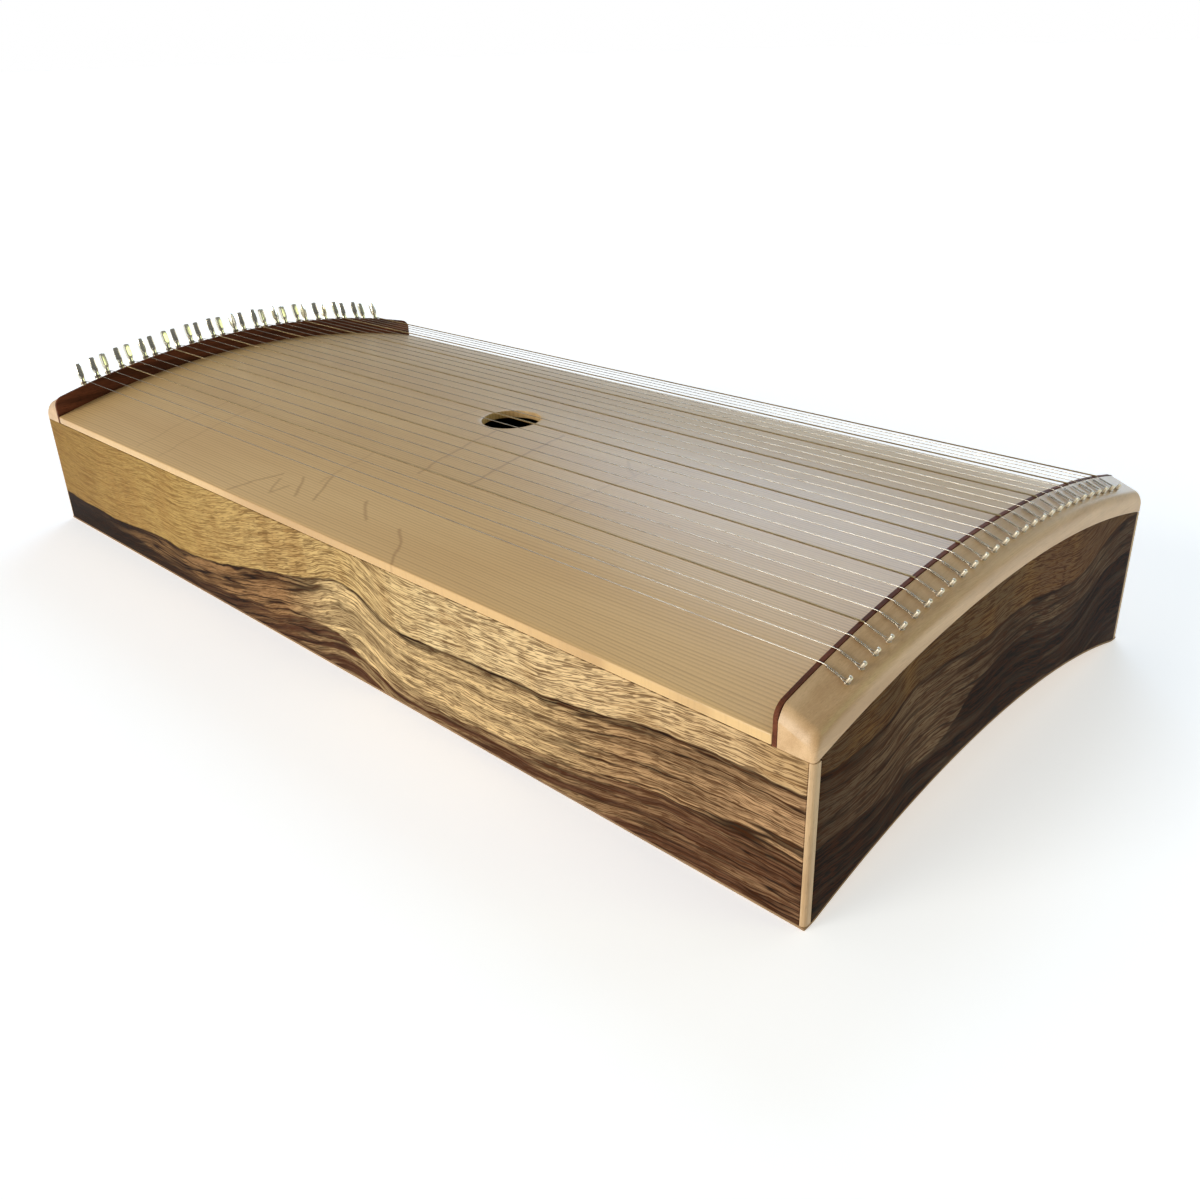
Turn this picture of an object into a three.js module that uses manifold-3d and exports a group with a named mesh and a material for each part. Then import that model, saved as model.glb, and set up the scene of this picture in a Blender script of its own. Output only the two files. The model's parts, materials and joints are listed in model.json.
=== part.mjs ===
// A 28-string body zither: a long arched sound box that lies over a person's body.
// Millimetres, +Z up. X runs along the strings (tuning pins at -X, hitch pins at +X),
// Y runs across them, and the origin is the middle of the surface that the box stands on.
import * as THREE from 'three';
import { mergeVertices } from 'three/addons/utils/BufferGeometryUtils.js';
import Module from 'manifold-3d';

// ---- driving dimensions ----
const LENGTH = 900;
const WIDTH = 426;
const SIDE_HEIGHT = 106;            // top of the figured side panels
const TOP_RISE = 28.3;              // rise of the soundboard and of everything that follows it
const HOLLOW_RISE = 29.5;           // rise of the hollow underside
const FOOT_LAND = 8;                // flat strip under each long edge, on which the box stands
const GAP = 0.3;                    // glue gap between touching pieces

const SOUNDBOARD_THICKNESS = 6.5;
const BACK_THICKNESS = 1.8;
const PANEL_THICKNESS = 6;          // side and end panels
const SOUND_HOLE_RADIUS = 25;

const BRIDGE_THICKNESS = 2.8;
const BRIDGE_HEIGHT = 16.7;         // how far a bridge stands above the soundboard
const BRIDGE_EDGE_CHAMFER = 0.8;
const HITCH_BRIDGE_X = 424.2;       // inner face of the bridge at the hitch end
const TUNING_BRIDGE_X = 421;        // the same at the tuning end, on the -X side
const SHOULDER_RADIUS = 7;          // rounding of blocks and bridges down to the side panels
const CORNER_RADIUS = 3;            // rounding of the upright corners
const BLOCK_SLOPE = 0.39;           // fall of a block's top away from its bridge
const BLOCK_STEP = 0.5;             // how far a block starts below the top of its bridge
const BLOCK_EDGE_RADIUS = 8;        // rounding between a block's top and its end face
const BLOCK_DEPTH = 36;             // how far a block reaches below the top of the end panel
const HITCH_LEDGE = 12;             // part of a block that runs under the soundboard
const TUNING_LEDGE = 22;

const STRING_COUNT = 28;
const STRING_PITCH = 13;
const PIN_LEAN = 20 * Math.PI / 180;
const PIN_ROW_X = -435.3;           // where the middle of the two pin rows meets the block
const PIN_ROW_STAGGER = 5;
const PIN_SHANK = 18;
const PIN_STAND = 22;
const PIN_RADIUS = 2.3;
const PIN_HOLE_RADIUS = 2.65;
const PIN_POINT = { radius: 1.5, length: 3 };   // the tapered lower end
const PIN_HEAD = { radius: 2.9, low: 10, high: 14, tip: 2.2, crown: 1.5 };
const HITCH_PIN_X = 441.8;
const HITCH_PIN_RADIUS = 1.1;
const HITCH_PIN_STAND = 5.5;
const HITCH_PIN_SHANK = 8;
const HITCH_PIN_LEAN = 30 * Math.PI / 180;

const CORNER_STRIP = { x: 3.4, y: PANEL_THICKNESS };
const CORNER_BLOCK = 18;
const LINING = { width: 12, height: 12 };
const BACK_LINING = { width: 10, height: 9 };
const SOUNDBOARD_BRACE = { thickness: 8, height: 18, places: [-270, -95, 115, 290] };
const BACK_BRACE = { thickness: 10, height: 14, places: [-250, 10, 270] };

// ---- derived dimensions ----
const HALF_LENGTH = LENGTH / 2;
const HALF_WIDTH = WIDTH / 2;
const INNER_HALF_WIDTH = HALF_WIDTH - PANEL_THICKNESS - GAP;
const PANEL_INNER_X = HALF_LENGTH - PANEL_THICKNESS;
const UNDERSIDE_EDGE = SIDE_HEIGHT + GAP;
const SOUNDBOARD_EDGE = UNDERSIDE_EDGE + SOUNDBOARD_THICKNESS;
const BRIDGE_EDGE = SOUNDBOARD_EDGE + BRIDGE_HEIGHT;
const ARCH_STEPS = 28;

// ---- materials ----
const finish = (color, roughness, metalness = 0) =>
  new THREE.MeshStandardMaterial({ color, roughness, metalness });
const figuredWood = finish(0x8a6a42, 0.5);
const softwood = finish(0xcbb089, 0.55);
const maple = finish(0xd3b78c, 0.45);
const darkWood = finish(0x4a2014, 0.45);
const braceWood = finish(0xd8c39a, 0.7);
const nickel = finish(0xc9c5b8, 0.25, 1);

// ---- arches ----
const arcHeight = (y, halfChord, rise) => {
  const radius = (halfChord ** 2 + rise ** 2) / (2 * rise);
  return Math.abs(y) >= halfChord ? 0 : Math.sqrt(radius ** 2 - y ** 2) - (radius - rise);
};
const topArch = (y) => arcHeight(y, HALF_WIDTH, TOP_RISE);
const hollow = (y) => arcHeight(y, HALF_WIDTH - FOOT_LAND, HOLLOW_RISE);
const backTop = (y) => hollow(y) + BACK_THICKNESS + GAP;
const underside = (y) => UNDERSIDE_EDGE + topArch(y);
const endPanelTop = (y) => SIDE_HEIGHT + topArch(y);

// Top line of a bridge: the arch, rounded over at both ends.
const bridgeTop = (y) => {
  const into = Math.max(0, Math.abs(y) - (HALF_WIDTH - SHOULDER_RADIUS));
  const drop = SHOULDER_RADIUS - Math.sqrt(SHOULDER_RADIUS ** 2 - into ** 2);
  return BRIDGE_EDGE + topArch(y) - drop;
};

// Places across the width: even steps, with closer ones on the rounded shoulders.
const acrossSteps = (halfWidth, steps) =>
  Array.from({ length: steps + 1 }, (_, i) => -halfWidth + (2 * halfWidth * i) / steps);
const shoulderSteps = () => {
  const flat = HALF_WIDTH - SHOULDER_RADIUS;
  const quarter = [15, 35, 55, 75, 90].map((deg) => flat + SHOULDER_RADIUS * Math.sin(deg * Math.PI / 180));
  return [...quarter.map((y) => -y).reverse(), ...acrossSteps(flat, ARCH_STEPS), ...quarter];
};

// ---- solids ----
const wasm = await Module();
wasm.setup();

const toSolid = (geometry) => {
  const bare = geometry.clone();
  bare.deleteAttribute('normal');
  bare.deleteAttribute('uv');
  const merged = mergeVertices(bare, 1e-4);
  return new wasm.Manifold(new wasm.Mesh({
    numProp: 3,
    vertProperties: new Float32Array(merged.attributes.position.array),
    triVerts: new Uint32Array(merged.index.array),
  }));
};

const toGeometry = (solid) => {
  const mesh = solid.getMesh();
  const geometry = new THREE.BufferGeometry();
  geometry.setAttribute('position', new THREE.BufferAttribute(new Float32Array(mesh.vertProperties), 3));
  geometry.setIndex(new THREE.BufferAttribute(new Uint32Array(mesh.triVerts), 1));
  geometry.computeVertexNormals();
  return geometry;
};

const boxBetween = (low, high) => {
  const size = high.map((value, i) => value - low[i]);
  const middle = high.map((value, i) => (value + low[i]) / 2);
  return new THREE.BoxGeometry(...size).translate(...middle);
};

// A section drawn in Y and Z, pushed along X from xStart to xEnd.
const ALONG_X = new THREE.Matrix4().makeBasis(
  new THREE.Vector3(0, 1, 0), new THREE.Vector3(0, 0, 1), new THREE.Vector3(1, 0, 0));
const extrudeAlongX = (points, xStart, xEnd, holes = []) => {
  const shape = new THREE.Shape(points.map(([y, z]) => new THREE.Vector2(y, z)));
  shape.holes.push(...holes);
  const geometry = new THREE.ExtrudeGeometry(shape, { depth: xEnd - xStart, bevelEnabled: false });
  return geometry.applyMatrix4(ALONG_X).translate(xStart, 0, 0);
};

// The outline between a lower and an upper line, for the given places across the width.
const between = (places, lower, upper) => [
  ...places.map((y) => [y, lower(y)]),
  ...places.slice().reverse().map((y) => [y, upper(y)]),
];

// A closed body through rings of [x, z] points, one ring for each place across the width.
const loft = (places, ringAt) => {
  const rings = places.map(ringAt);
  const count = rings[0].length;
  const positions = rings.flatMap((ring, i) => ring.flatMap(([x, z]) => [x, places[i], z]));
  const index = [];
  for (let i = 0; i < rings.length - 1; i += 1) {
    for (let j = 0; j < count; j += 1) {
      const a = i * count + j;
      const b = i * count + (j + 1) % count;
      index.push(a, b + count, b, a, a + count, b + count);
    }
  }
  const capStarts = [0, (rings.length - 1) * count];
  capStarts.forEach((start, end) => {
    const ring = rings[end ? rings.length - 1 : 0].map(([x, z]) => new THREE.Vector2(x, z));
    THREE.ShapeUtils.triangulateShape(ring, []).forEach(([a, b, c]) => {
      index.push(...(end ? [start + a, start + c, start + b] : [start + a, start + b, start + c]));
    });
  });
  const geometry = new THREE.BufferGeometry();
  geometry.setAttribute('position', new THREE.BufferAttribute(new Float32Array(positions), 3));
  geometry.setIndex(index);
  return geometry;
};

// ---- the assembly ----
const zither = new THREE.Group();
const addPiece = (name, geometry, material) => {
  const mesh = new THREE.Mesh(geometry, material);
  mesh.name = name;
  zither.add(mesh);
  return mesh;
};
const LONG_SIDES = [['front', -1], ['rear', 1]];
const ENDS = [['left', -1], ['right', 1]];

// ---- soundboard and back ----
const soundboardEnds = [-TUNING_BRIDGE_X + GAP, HITCH_BRIDGE_X - GAP];
const soundboardPlate = extrudeAlongX(
  between(acrossSteps(HALF_WIDTH, ARCH_STEPS), underside, (y) => underside(y) + SOUNDBOARD_THICKNESS),
  ...soundboardEnds);
const holeDrill = new THREE.CylinderGeometry(SOUND_HOLE_RADIUS, SOUND_HOLE_RADIUS, 4 * TOP_RISE, 32)
  .rotateX(Math.PI / 2).translate(0, 0, SOUNDBOARD_EDGE + TOP_RISE);
addPiece('soundboard', toGeometry(toSolid(soundboardPlate).subtract(toSolid(holeDrill))), softwood);

const landEdge = HALF_WIDTH - FOOT_LAND;
const backPlaces = [-HALF_WIDTH, ...acrossSteps(landEdge, ARCH_STEPS), HALF_WIDTH];
addPiece('back_plate', extrudeAlongX(
  between(backPlaces, hollow, (y) => hollow(y) + BACK_THICKNESS), -HALF_LENGTH, HALF_LENGTH), maple);

// ---- side panels, end panels and corner strips ----
const sideBottom = BACK_THICKNESS + GAP;
LONG_SIDES.forEach(([name, side]) => {
  const ys = [side * (HALF_WIDTH - PANEL_THICKNESS), side * HALF_WIDTH].sort((a, b) => a - b);
  const x = HALF_LENGTH - CORNER_STRIP.x - GAP;
  addPiece(`${name}_side_panel`,
    boxBetween([-x, ys[0], sideBottom], [x, ys[1], SIDE_HEIGHT]), figuredWood);
});
ENDS.forEach(([name, end]) => {
  const halfWidth = HALF_WIDTH - CORNER_STRIP.y - GAP;
  const xs = [end * PANEL_INNER_X, end * HALF_LENGTH].sort((a, b) => a - b);
  addPiece(`${name}_end_panel`,
    extrudeAlongX(between(acrossSteps(halfWidth, ARCH_STEPS), backTop, endPanelTop), ...xs), figuredWood);
});
ENDS.forEach(([endName, end]) => LONG_SIDES.forEach(([sideName, side]) => {
  const outer = new THREE.Shape();
  outer.moveTo(HALF_LENGTH - CORNER_STRIP.x, HALF_WIDTH - CORNER_STRIP.y);
  outer.lineTo(HALF_LENGTH, HALF_WIDTH - CORNER_STRIP.y);
  outer.lineTo(HALF_LENGTH, HALF_WIDTH - CORNER_RADIUS);
  outer.absarc(HALF_LENGTH - CORNER_RADIUS, HALF_WIDTH - CORNER_RADIUS, CORNER_RADIUS, 0, Math.PI / 2);
  outer.lineTo(HALF_LENGTH - CORNER_STRIP.x, HALF_WIDTH);
  const corner = outer.getPoints(4).map((p) => new THREE.Vector2(end * p.x, side * p.y));
  const strip = new THREE.ExtrudeGeometry(new THREE.Shape(corner),
    { depth: SIDE_HEIGHT - sideBottom, bevelEnabled: false });
  addPiece(`${sideName}_${endName}_corner_strip`, strip.translate(0, 0, sideBottom), maple);
}));

// ---- blocks and bridges ----
// Section of an end block, drawn for the +X end. Its top falls away from the bridge and
// rounds into the end face; below, it steps back behind the end panel.
const blockSection = (y, bridgeX, ledge) => {
  const back = bridgeX + BRIDGE_THICKNESS + GAP;
  const cornerIn = Math.max(0, Math.abs(y) - (HALF_WIDTH - CORNER_RADIUS));
  const face = HALF_LENGTH - CORNER_RADIUS + Math.sqrt(CORNER_RADIUS ** 2 - cornerIn ** 2);
  const top = bridgeTop(y) - BLOCK_STEP;
  const slopeAngle = Math.atan(BLOCK_SLOPE);
  const edgeX = face - BLOCK_EDGE_RADIUS;
  const tangentX = edgeX + BLOCK_EDGE_RADIUS * Math.sin(slopeAngle);
  const centreZ = top - (tangentX - back) * BLOCK_SLOPE - BLOCK_EDGE_RADIUS * Math.cos(slopeAngle);
  const rounding = [0, 0.25, 0.5, 0.75, 1].map((t) => {
    const angle = t * (Math.PI / 2 - slopeAngle);
    return [edgeX + BLOCK_EDGE_RADIUS * Math.cos(angle), centreZ + BLOCK_EDGE_RADIUS * Math.sin(angle)];
  });
  return [
    [bridgeX - ledge, endPanelTop(y) - BLOCK_DEPTH],
    [PANEL_INNER_X - GAP, endPanelTop(y) - BLOCK_DEPTH],
    [PANEL_INNER_X - GAP, endPanelTop(y) + GAP],
    [face, endPanelTop(y) + GAP],
    ...rounding,
    [back, top],
    [back, underside(y) - GAP],
    [bridgeX - ledge, underside(y) - GAP],
  ];
};
const sideNotches = LONG_SIDES.map(([, side]) => {
  const ys = [side * INNER_HALF_WIDTH, side * (HALF_WIDTH + 5)].sort((a, b) => a - b);
  return toSolid(boxBetween([-HALF_LENGTH - 5, ys[0], 0], [HALF_LENGTH + 5, ys[1], SIDE_HEIGHT + GAP]));
});
const endBlock = (bridgeX, ledge, end) => {
  let solid = toSolid(loft(shoulderSteps(), (y) => blockSection(y, bridgeX, ledge)));
  if (end < 0) solid = solid.mirror([1, 0, 0]);
  return sideNotches.reduce((rest, notch) => rest.subtract(notch), solid);
};
const bridge = (xStart) => loft(shoulderSteps(), (y) => {
  const [low, high] = [underside(y), bridgeTop(y)];
  const xEnd = xStart + BRIDGE_THICKNESS;
  return [
    [xStart, low], [xEnd, low],
    [xEnd, high - BRIDGE_EDGE_CHAMFER], [xEnd - BRIDGE_EDGE_CHAMFER, high],
    [xStart + BRIDGE_EDGE_CHAMFER, high], [xStart, high - BRIDGE_EDGE_CHAMFER],
  ];
});
addPiece('tuning_bridge', bridge(-TUNING_BRIDGE_X - BRIDGE_THICKNESS), darkWood);
addPiece('hitch_bridge', bridge(HITCH_BRIDGE_X), darkWood);

// ---- tuning pins ----
const stringY = (i) => (i - (STRING_COUNT - 1) / 2) * STRING_PITCH;
const slopeTop = (x, bridgeX, y) =>
  bridgeTop(y) - BLOCK_STEP - (Math.abs(x) - bridgeX - BRIDGE_THICKNESS - GAP) * BLOCK_SLOPE;
const pinFoot = (i) => {
  const x = PIN_ROW_X + (i % 2 === 0 ? -1 : 1) * PIN_ROW_STAGGER / 2;
  return new THREE.Vector3(x, stringY(i), slopeTop(x, TUNING_BRIDGE_X, stringY(i)));
};
const pinProfile = [
  [0, -PIN_SHANK], [PIN_POINT.radius, -PIN_SHANK], [PIN_RADIUS, -PIN_SHANK + PIN_POINT.length],
  [PIN_RADIUS, PIN_HEAD.low - 1], [PIN_HEAD.radius, PIN_HEAD.low], [PIN_HEAD.radius, PIN_HEAD.high],
  [PIN_HEAD.tip, PIN_STAND - 1], [PIN_HEAD.crown, PIN_STAND], [0, PIN_STAND],
].map(([r, z]) => new THREE.Vector2(r, z));
const pinGeometry = new THREE.LatheGeometry(pinProfile, 8).rotateX(Math.PI / 2);
const drillAbove = 20;
const drillBelow = PIN_SHANK + 1;
const pinHole = new THREE.CylinderGeometry(
  PIN_HOLE_RADIUS, PIN_HOLE_RADIUS, drillAbove + drillBelow, 12)
  .rotateX(Math.PI / 2).translate(0, 0, (drillAbove - drillBelow) / 2);
let tuningBlock = endBlock(TUNING_BRIDGE_X, TUNING_LEDGE, -1);
for (let i = 0; i < STRING_COUNT; i += 1) {
  const number = String(i + 1).padStart(2, '0');
  const pin = addPiece(`tuning_pin_${number}`, pinGeometry, nickel);
  pin.position.copy(pinFoot(i));
  pin.rotation.y = -PIN_LEAN;
  pin.updateMatrix();
  tuningBlock = tuningBlock.subtract(toSolid(pinHole.clone().applyMatrix4(pin.matrix)));
}
addPiece('tuning_block', toGeometry(tuningBlock), maple);

// ---- hitch block, with its fixed hitch pins driven in ----
const hitchPin = new THREE.CylinderGeometry(
  HITCH_PIN_RADIUS, HITCH_PIN_RADIUS, HITCH_PIN_STAND + HITCH_PIN_SHANK, 8)
  .rotateX(Math.PI / 2).translate(0, 0, (HITCH_PIN_STAND - HITCH_PIN_SHANK) / 2);
let hitchBlock = endBlock(HITCH_BRIDGE_X, HITCH_LEDGE, 1);
for (let i = 0; i < STRING_COUNT; i += 1) {
  const foot = slopeTop(HITCH_PIN_X, HITCH_BRIDGE_X, stringY(i));
  const placed = hitchPin.clone().rotateY(HITCH_PIN_LEAN).translate(HITCH_PIN_X, stringY(i), foot);
  hitchBlock = hitchBlock.add(toSolid(placed));
}
addPiece('hitch_block', toGeometry(hitchBlock), maple);

// ---- inside the box ----
const ledgeEnds = [-TUNING_BRIDGE_X + TUNING_LEDGE + GAP, HITCH_BRIDGE_X - HITCH_LEDGE - GAP];
LONG_SIDES.forEach(([name, side]) => {
  const spanOf = (width) => [side * INNER_HALF_WIDTH, side * (INNER_HALF_WIDTH - width)]
    .sort((a, b) => a - b);
  addPiece(`${name}_soundboard_lining`, extrudeAlongX(
    between(spanOf(LINING.width), () => SIDE_HEIGHT - LINING.height, (y) => underside(y) - GAP),
    ...ledgeEnds), braceWood);
  const backEnd = PANEL_INNER_X - CORNER_BLOCK - 2 * GAP;
  addPiece(`${name}_back_lining`, extrudeAlongX(
    between(spanOf(BACK_LINING.width), backTop, () => backTop(0) - HOLLOW_RISE + BACK_LINING.height),
    -backEnd, backEnd), braceWood);
  ENDS.forEach(([endName, end]) => {
    const outerX = PANEL_INNER_X - GAP;
    const xs = [end * outerX, end * (outerX - CORNER_BLOCK)].sort((a, b) => a - b);
    addPiece(`${name}_${endName}_corner_block`, extrudeAlongX(
      between(spanOf(CORNER_BLOCK), backTop, (y) => endPanelTop(y) - BLOCK_DEPTH - GAP), ...xs), braceWood);
  });
});
const braceHalfWidth = INNER_HALF_WIDTH - LINING.width - GAP;
SOUNDBOARD_BRACE.places.forEach((x, i) => {
  addPiece(`soundboard_brace_${i + 1}`, extrudeAlongX(
    between(acrossSteps(braceHalfWidth, ARCH_STEPS / 2),
      (y) => underside(y) - GAP - SOUNDBOARD_BRACE.height, (y) => underside(y) - GAP),
    x - SOUNDBOARD_BRACE.thickness / 2, x + SOUNDBOARD_BRACE.thickness / 2), braceWood);
});
const backBraceHalfWidth = INNER_HALF_WIDTH - BACK_LINING.width - GAP;
BACK_BRACE.places.forEach((x, i) => {
  addPiece(`back_brace_${i + 1}`, extrudeAlongX(
    between(acrossSteps(backBraceHalfWidth, ARCH_STEPS / 2), backTop, (y) => backTop(y) + BACK_BRACE.height),
    x - BACK_BRACE.thickness / 2, x + BACK_BRACE.thickness / 2), braceWood);
});

export default zither;
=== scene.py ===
# %% [markdown]
# # A 28-string board zither
# This lesson dresses a finished CAD model of a flat stringed instrument: a shallow box with an arched
# soundboard, figured hardwood sides, two pale end blocks and 28 strings. The CAD model fixes every size.
# Here each visible piece gets a finer mesh and a wooden or metal finish.
#
# The frame is loaded first. Everything below asks it for places, so nothing is fitted by eye.

# %% Load the frame
import json
import math
import random

import bmesh
import bpy
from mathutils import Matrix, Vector

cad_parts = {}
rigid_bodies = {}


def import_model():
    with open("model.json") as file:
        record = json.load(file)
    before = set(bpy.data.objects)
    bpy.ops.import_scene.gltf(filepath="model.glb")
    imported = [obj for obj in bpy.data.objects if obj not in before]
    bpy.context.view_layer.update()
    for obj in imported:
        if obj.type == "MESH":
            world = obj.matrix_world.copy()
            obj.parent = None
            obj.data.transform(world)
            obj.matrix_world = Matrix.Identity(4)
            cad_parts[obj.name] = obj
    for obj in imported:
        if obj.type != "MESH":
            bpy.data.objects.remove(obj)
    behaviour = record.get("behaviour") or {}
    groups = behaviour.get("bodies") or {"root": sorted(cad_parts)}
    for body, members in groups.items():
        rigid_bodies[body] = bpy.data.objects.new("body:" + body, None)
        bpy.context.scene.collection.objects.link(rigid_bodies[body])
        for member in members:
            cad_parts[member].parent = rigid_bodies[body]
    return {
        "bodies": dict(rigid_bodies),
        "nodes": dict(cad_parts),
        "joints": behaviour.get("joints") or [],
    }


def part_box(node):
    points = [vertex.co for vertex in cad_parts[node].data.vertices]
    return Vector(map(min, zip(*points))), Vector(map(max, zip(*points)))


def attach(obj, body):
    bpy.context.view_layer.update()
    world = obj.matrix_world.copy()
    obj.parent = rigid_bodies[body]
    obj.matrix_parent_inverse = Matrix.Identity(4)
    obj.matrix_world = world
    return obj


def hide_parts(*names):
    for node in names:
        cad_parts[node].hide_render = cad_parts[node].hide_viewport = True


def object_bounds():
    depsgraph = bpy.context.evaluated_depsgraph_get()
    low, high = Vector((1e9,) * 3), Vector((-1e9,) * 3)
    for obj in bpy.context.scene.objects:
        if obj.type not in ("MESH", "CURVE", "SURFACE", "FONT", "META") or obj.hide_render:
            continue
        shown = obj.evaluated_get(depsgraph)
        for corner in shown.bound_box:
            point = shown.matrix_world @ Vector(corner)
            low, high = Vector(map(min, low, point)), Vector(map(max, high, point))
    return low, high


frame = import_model()
cad_low, cad_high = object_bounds()
scene = bpy.context.scene

# %% [markdown]
# ## Driving sizes
# A maker would hold a few numbers in mind: how wide the box is, how far the soundboard rises in the middle,
# how deep the back is hollowed, and where the two bridges stand. They are all read from the frame's boxes.

# %% Read the driving sizes
MM = 0.001


def low(node):
    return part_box(node)[0]


def high(node):
    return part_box(node)[1]


GAP = 0.3 * MM
HALF_LENGTH = cad_high.x
HALF_WIDTH = cad_high.y
SIDE_TOP = high("front_side_panel").z
TOP_RISE = high("right_end_panel").z - SIDE_TOP
BOARD_UNDER = low("soundboard").z
BOARD_THICKNESS = high("soundboard").z - TOP_RISE - BOARD_UNDER
BOARD_TOP = BOARD_UNDER + BOARD_THICKNESS
BACK_THICKNESS = low("front_side_panel").z - GAP
HOLLOW_RISE = high("back_plate").z - BACK_THICKNESS
FOOT_WIDTH = 8 * MM  # the flat strip under each long side, beside the hollow
HOLLOW_HALF_WIDTH = HALF_WIDTH - FOOT_WIDTH
SHARP_CORNER = math.radians(35)  # edges that turn less than this stay as they are
# How many strips each bent piece is cut into, across the box.
PANEL_STRIPS, BACK_STRIPS, BRIDGE_STRIPS, TONGUE_STRIPS = 64, 80, 72, 40
BRIDGE_TOP = high("hitch_bridge").z - TOP_RISE
print("box", 2 * HALF_LENGTH, 2 * HALF_WIDTH, "rise", round(TOP_RISE, 4), "bridge", round(BRIDGE_TOP, 4))


def arch_height(across, half_chord, rise):
    """Height of a round arch over its chord, at a place across it."""
    radius = (half_chord ** 2 + rise ** 2) / (2 * rise)
    if abs(across) >= half_chord:
        return 0.0
    return math.sqrt(radius ** 2 - across ** 2) - (radius - rise)


def top_arch(y):
    return arch_height(y, HALF_WIDTH, TOP_RISE)


# %% [markdown]
# ## Helpers for node trees
# Finishes and repeated shapes are both made of nodes. These helpers add a node, fill its sockets with a
# number or a link, and do arithmetic, so that each tree below reads like a recipe.


# %% Node helpers
def plug(tree, value, socket):
    if isinstance(value, bpy.types.NodeSocket):
        tree.links.new(value, socket)
    else:
        socket.default_value = value


def node(tree, kind, inputs=None, **settings):
    made = tree.nodes.new(kind)
    for name, value in settings.items():
        setattr(made, name, value)
    for name, value in (inputs or {}).items():
        plug(tree, value, made.inputs[name])
    return made


def maths(tree, operation, *values, clamp=False):
    made = node(tree, "ShaderNodeMath", dict(enumerate(values)), operation=operation, use_clamp=clamp)
    return made.outputs[0]


def times(tree, first, second):
    return maths(tree, "MULTIPLY", first, second)


def plus(tree, first, second):
    return maths(tree, "ADD", first, second)


def minus(tree, first, second):
    return maths(tree, "SUBTRACT", first, second)


def smooth_step(tree, value, start, end, low_result=0.0, high_result=1.0):
    made = node(tree, "ShaderNodeMapRange", {"Value": value, "From Min": start, "From Max": end,
                "To Min": low_result, "To Max": high_result}, interpolation_type="SMOOTHSTEP")
    return made.outputs["Result"]


def vector(tree, x, y, z):
    return node(tree, "ShaderNodeCombineXYZ", {"X": x, "Y": y, "Z": z}).outputs[0]


def vector_maths(tree, operation, first, second, result="Vector"):
    return node(tree, "ShaderNodeVectorMath", {0: first, 1: second}, operation=operation).outputs[result]


def blend_colour(tree, share, first, second, way="MIX"):
    made = node(tree, "ShaderNodeMix", {0: share, 6: first, 7: second}, data_type="RGBA", blend_type=way)
    return made.outputs[2]


def noise(tree, place, scale=1.0, detail=2.0, roughness=0.5):
    made = node(tree, "ShaderNodeTexNoise", {"Vector": place, "Scale": scale, "Detail": detail,
                "Roughness": roughness}, noise_dimensions="3D")
    return made.outputs["Fac"]


def tone(red, green, blue):
    """A colour as a paint chart gives it, 0 to 255, turned into the linear numbers that shaders use."""
    def linear(value):
        share = value / 255
        return share / 12.92 if share <= 0.04045 else ((share + 0.055) / 1.055) ** 2.4
    return (linear(red), linear(green), linear(blue), 1)


def colour_ramp(tree, share, stops):
    made = node(tree, "ShaderNodeValToRGB", {"Fac": share})
    points = made.color_ramp.elements
    while len(points) < len(stops):
        points.new(0.5)
    for point, (place, colour) in zip(points, stops):
        point.position = place
        point.color = colour
    return made.outputs["Color"]


def line_height(tree, share, points):
    """A curve drawn through given points, both coordinates 0 to 1."""
    made = node(tree, "ShaderNodeFloatCurve", {"Value": share})
    curve = made.mapping.curves[0]
    while len(curve.points) < len(points):
        curve.points.new(0.5, 0.5)
    for point, place in zip(curve.points, sorted(points)):
        point.location = place
    made.mapping.update()
    return made.outputs["Value"]


def finish_shape(tree, shape, material, output):
    """The end of every Geometry Nodes tree here: real geometry with one finish on it."""
    real = node(tree, "GeometryNodeRealizeInstances", {"Geometry": shape.outputs[0]})
    skinned = node(tree, "GeometryNodeSetMaterial", {"Geometry": real.outputs[0], "Material": material})
    plug(tree, skinned.outputs[0], output)


def new_group(name, kind, inputs, outputs):
    """A node group with named sockets. inputs and outputs are (name, socket type, default) rows."""
    group = bpy.data.node_groups.new(name, kind)
    for in_out, rows in (("INPUT", inputs), ("OUTPUT", outputs)):
        for label, socket_type, default in rows:
            socket = group.interface.new_socket(name=label, in_out=in_out, socket_type=socket_type)
            if default is not None:
                socket.default_value = default
    return group, node(group, "NodeGroupInput").outputs, node(group, "NodeGroupOutput").inputs


# %% [markdown]
# ## Camera, floor and light
# The view is from the front right and a little above. The lens is short and close, so the near corner looks
# large. A pale floor and a low soft sun from the front light the sides more than the top. Two windows
# behind give the satin wood and the strings their sheen. The sky is bright above and behind, and darker where
# a viewer stands, with two small bright patches to the right, so that the metal pins show light and dark
# stripes instead of one grey.

# %% Camera
camera_data = bpy.data.cameras.new("camera")
camera = bpy.data.objects.new("camera", camera_data)
scene.collection.objects.link(camera)
camera.location = (0.690708, -0.605325, 0.425307)
camera.rotation_euler = [math.radians(angle) for angle in (64.4267, 1.4090, 43.0667)]
camera_data.sensor_width = 36
camera_data.lens = 33.4306
camera_data.shift_x = -0.00859
camera_data.shift_y = -0.01749
camera_data.clip_start = 0.01
scene.camera = camera
scene.view_settings.view_transform = "Standard"

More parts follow.
